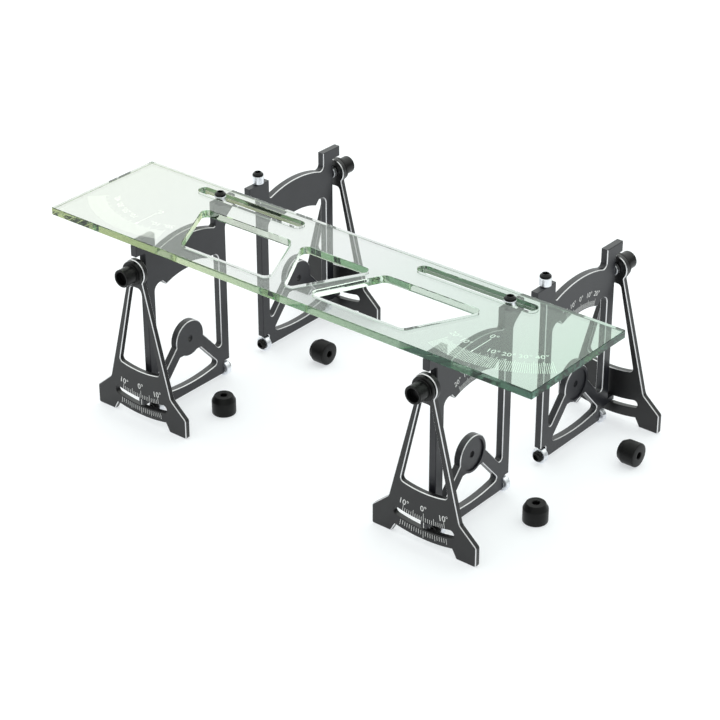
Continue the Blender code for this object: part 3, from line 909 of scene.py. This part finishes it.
def build_stand(name, meshes):
    """One stand's twelve pieces and its scales."""
    stand = stand_matrix(name)
    outer = STANDS[name]["outer"]

    def piece(kind, mesh, makers, local, body):
        node = f"{name}_{kind}"
        add_piece(node + "_look", meshes[mesh], makers, stand @ local, f"{name}_{body}", [node])

    upright = Matrix.Identity(4)
    inward = along_y()
    outward = Matrix.Rotation(math.radians(90), 4, "X")
    pivot = place_at(0, 0, PIVOT_Z)
    roller = place_at(0, ROLLER_Y[0], ROLLER_R) @ inward
    roller_head = place_at(0, ROLLER_Y[1] + GAP, ROLLER_R) @ inward
    outer_roller = place_at(0, OUTER_ROLLER_Y[0], ROLLER_R) @ inward
    outer_head = place_at(0, OUTER_ROLLER_Y[0] - GAP, ROLLER_R) @ outward
    bush = pivot @ inward @ place_at(0, 0, CAMBER_THICK + GAP)
    plate = "main_plate_right" if outer > 0 else "main_plate_left"
    piece("main_plate", plate, ["plate", "edge"], upright, "stand")
    piece("camber_plate", "camber_plate", ["frame", "edge"], upright, "camber_frame")
    piece("camber_knob", "knob", ["black"], pivot @ outward, "knob")
    piece("pivot_bush", "bush", ["steel"], bush, "stand")
    piece("pivot_stud", "stud", ["steel"], pivot @ inward, "stand")
    piece("roller_ring", "roller", ["bright"], roller, "roller")
    piece("roller_core", "core", ["steel"], roller, "stand")
    piece("roller_screw", "roller_screw", ["black"], roller_head, "stand")
    piece("outer_roller", "outer_roller", ["bright"], outer_roller, "outer_roller")
    piece("outer_screw", "roller_screw", ["black"], outer_head, "stand")
    piece("toe_sleeve", "sleeve", ["bright"], place_at(0, PIN_Y, SLEEVE_Z[0]), "pin")
    piece("toe_screw", "toe_screw", ["black"], place_at(0, PIN_Y, SLEEVE_Z[1] + GAP), "stand")
    camber_scale(name, stand)
    caster_scale(name, stand, outer)


def stand_meshes():
    return {
        "main_plate_left": main_plate_mesh(-1),
        "main_plate_right": main_plate_mesh(1),
        "camber_plate": camber_plate_mesh(),
        "knob": knob_mesh(),
        "bush": ring_mesh(HOLE_R, BUSH_R, POST_OUTER[0] - CAMBER_THICK - 2 * GAP, 0.25, "pivot_bush"),
        "stud": mesh_from(rod(SHANK_R, *STUD_Y), "pivot_stud"),
        "roller": roller_mesh(RACE_R[1]),
        "outer_roller": roller_mesh(HOLE_R),
        "core": ring_mesh(HOLE_R, RACE_R[0], ROLLER_WIDE, 0.15, "roller_core"),
        "roller_screw": screw_mesh(ROLLER_SCREW_LONG, "roller_screw"),
        "sleeve": ring_mesh(HOLE_R, SLEEVE_R, SLEEVE_Z[1] - SLEEVE_Z[0], 0.2, "toe_sleeve"),
        "toe_screw": screw_mesh(TOE_SCREW_LONG, "toe_screw"),
    }


def build_nut(name, mesh):
    """A nut stands on its flat end, or lies with that end towards +x if its box is taller than long."""
    low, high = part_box(name)
    size = high - low
    middle = (low + high) / 2
    if size.z > size.x:
        lying = Matrix.Rotation(math.radians(-90), 4, "Y")
        matrix = Matrix.Translation((high.x, middle.y, middle.z)) @ lying
    else:
        matrix = Matrix.Translation((middle.x, middle.y, low.z))
    add_piece(name + "_look", mesh, ["nut"], matrix, name, [name])


def build_toe_plate():
    """The clear plate, whose outside, windows and slots have wall materials of their own, and its scales.
    The wall materials are shaded and lit copies of the glass: painted shade on the outside and the slots,
    painted light on the windows.
    """
    loops = toe_plate_loops()
    walls = [1, 2, 3, 2, 3, 2]
    mesh = mesh_from(slab(loops, 2, *TOE_Z, [GLASS_EDGE] * len(loops), walls), "toe_plate")
    makers = ["glass", "glass_rim_painted_shade", "glass_cut_painted_light", "glass_slot_painted_shade"]
    add_piece("toe_plate_look", mesh, makers, Matrix.Identity(4), "toe_plate", ["toe_plate"])
    toe_scale(-1)
    toe_scale(1)


def build_stage():
    """A plain pale floor, wide enough to fill every view."""
    bm = bmesh.new()
    bmesh.ops.create_grid(bm, x_segments=8, y_segments=8, size=FLOOR_HALF)
    floor = bpy.data.objects.new("floor", mesh_from(bm, "floor"))
    bpy.context.scene.collection.objects.link(floor)
    floor.data.materials.append(floor_white("floor_white"))
    floor.location.z = -FLOOR_DROP


def build_light():
    """A soft studio dome: a bright screen high behind the object, falling off to a dim horizon in front."""
    world = bpy.data.worlds.new("studio")
    bpy.context.scene.world = world
    world.use_nodes = True
    nodes, links = world.node_tree.nodes, world.node_tree.links
    coordinates = nodes.new("ShaderNodeTexCoord")

    def lobe(direction, start, end, strength):
        """Light that grows from nothing at start to full strength at end, by the cosine to a direction."""
        toward = nodes.new("ShaderNodeVectorMath")
        toward.operation = "DOT_PRODUCT"
        toward.inputs[1].default_value = Vector(direction).normalized()
        links.new(coordinates.outputs["Generated"], toward.inputs[0])
        fade = nodes.new("ShaderNodeMapRange")
        fade.interpolation_type = "SMOOTHSTEP"
        fade.inputs["From Min"].default_value = start
        fade.inputs["From Max"].default_value = end
        fade.inputs["To Max"].default_value = strength
        links.new(toward.outputs["Value"], fade.inputs["Value"])
        return fade.outputs["Result"]

    overhead = lobe((0, 0, 1), 0.0, 0.7, 0.9)
    screen = lobe(SCREEN_TOWARD, 0.3, 0.95, 0.8)
    total = nodes.new("ShaderNodeMath")
    links.new(overhead, total.inputs[0])
    links.new(screen, total.inputs[1])
    lifted = nodes.new("ShaderNodeMath")
    links.new(total.outputs["Value"], lifted.inputs[0])
    lifted.inputs[1].default_value = HORIZON_LIGHT
    background = nodes["Background"]
    background.inputs["Color"].default_value = (0.96, 1.0, 0.97, 1)
    links.new(lifted.outputs["Value"], background.inputs["Strength"])


def build_camera():
    azimuth, elevation, roll = (math.radians(v) for v in (CAMERA_AZIMUTH, CAMERA_ELEVATION, CAMERA_ROLL))
    forward = Vector((
        -math.sin(azimuth) * math.cos(elevation),
        math.cos(azimuth) * math.cos(elevation),
        -math.sin(elevation),
    ))
    level = Vector((math.cos(azimuth), math.sin(azimuth), 0))
    up = level.cross(forward)
    right = math.cos(roll) * level + math.sin(roll) * up
    up = right.cross(forward)
    camera = bpy.data.objects.new("camera", bpy.data.cameras.new("camera"))
    bpy.context.scene.collection.objects.link(camera)
    camera.data.lens = CAMERA_LENS
    camera.data.sensor_width = SENSOR_WIDTH
    camera.data.clip_end = 50
    rows = Matrix((right, up, -forward)).transposed().to_4x4()
    camera.matrix_world = Matrix.Translation(CAMERA_PLACE) @ rows
    bpy.context.scene.camera = camera


def build():
    meshes = stand_meshes()
    for name in STANDS:
        build_stand(name, meshes)
    build_toe_plate()
    nut = nut_mesh()
    for name in ("wheel_nut_1", "wheel_nut_2", "wheel_nut_3", "wheel_nut_4"):
        build_nut(name, nut)
    build_stage()
    build_light()
    build_camera()
    bpy.context.scene.view_settings.view_transform = "Standard"
    # Light runs along inside the glass from edge to edge, with a reflection every few millimetres
    cycles = bpy.context.scene.cycles
    cycles.max_bounces = 40
    cycles.glossy_bounces = 32
    cycles.transmission_bounces = 32


build()
bpy.context.view_layer.update()
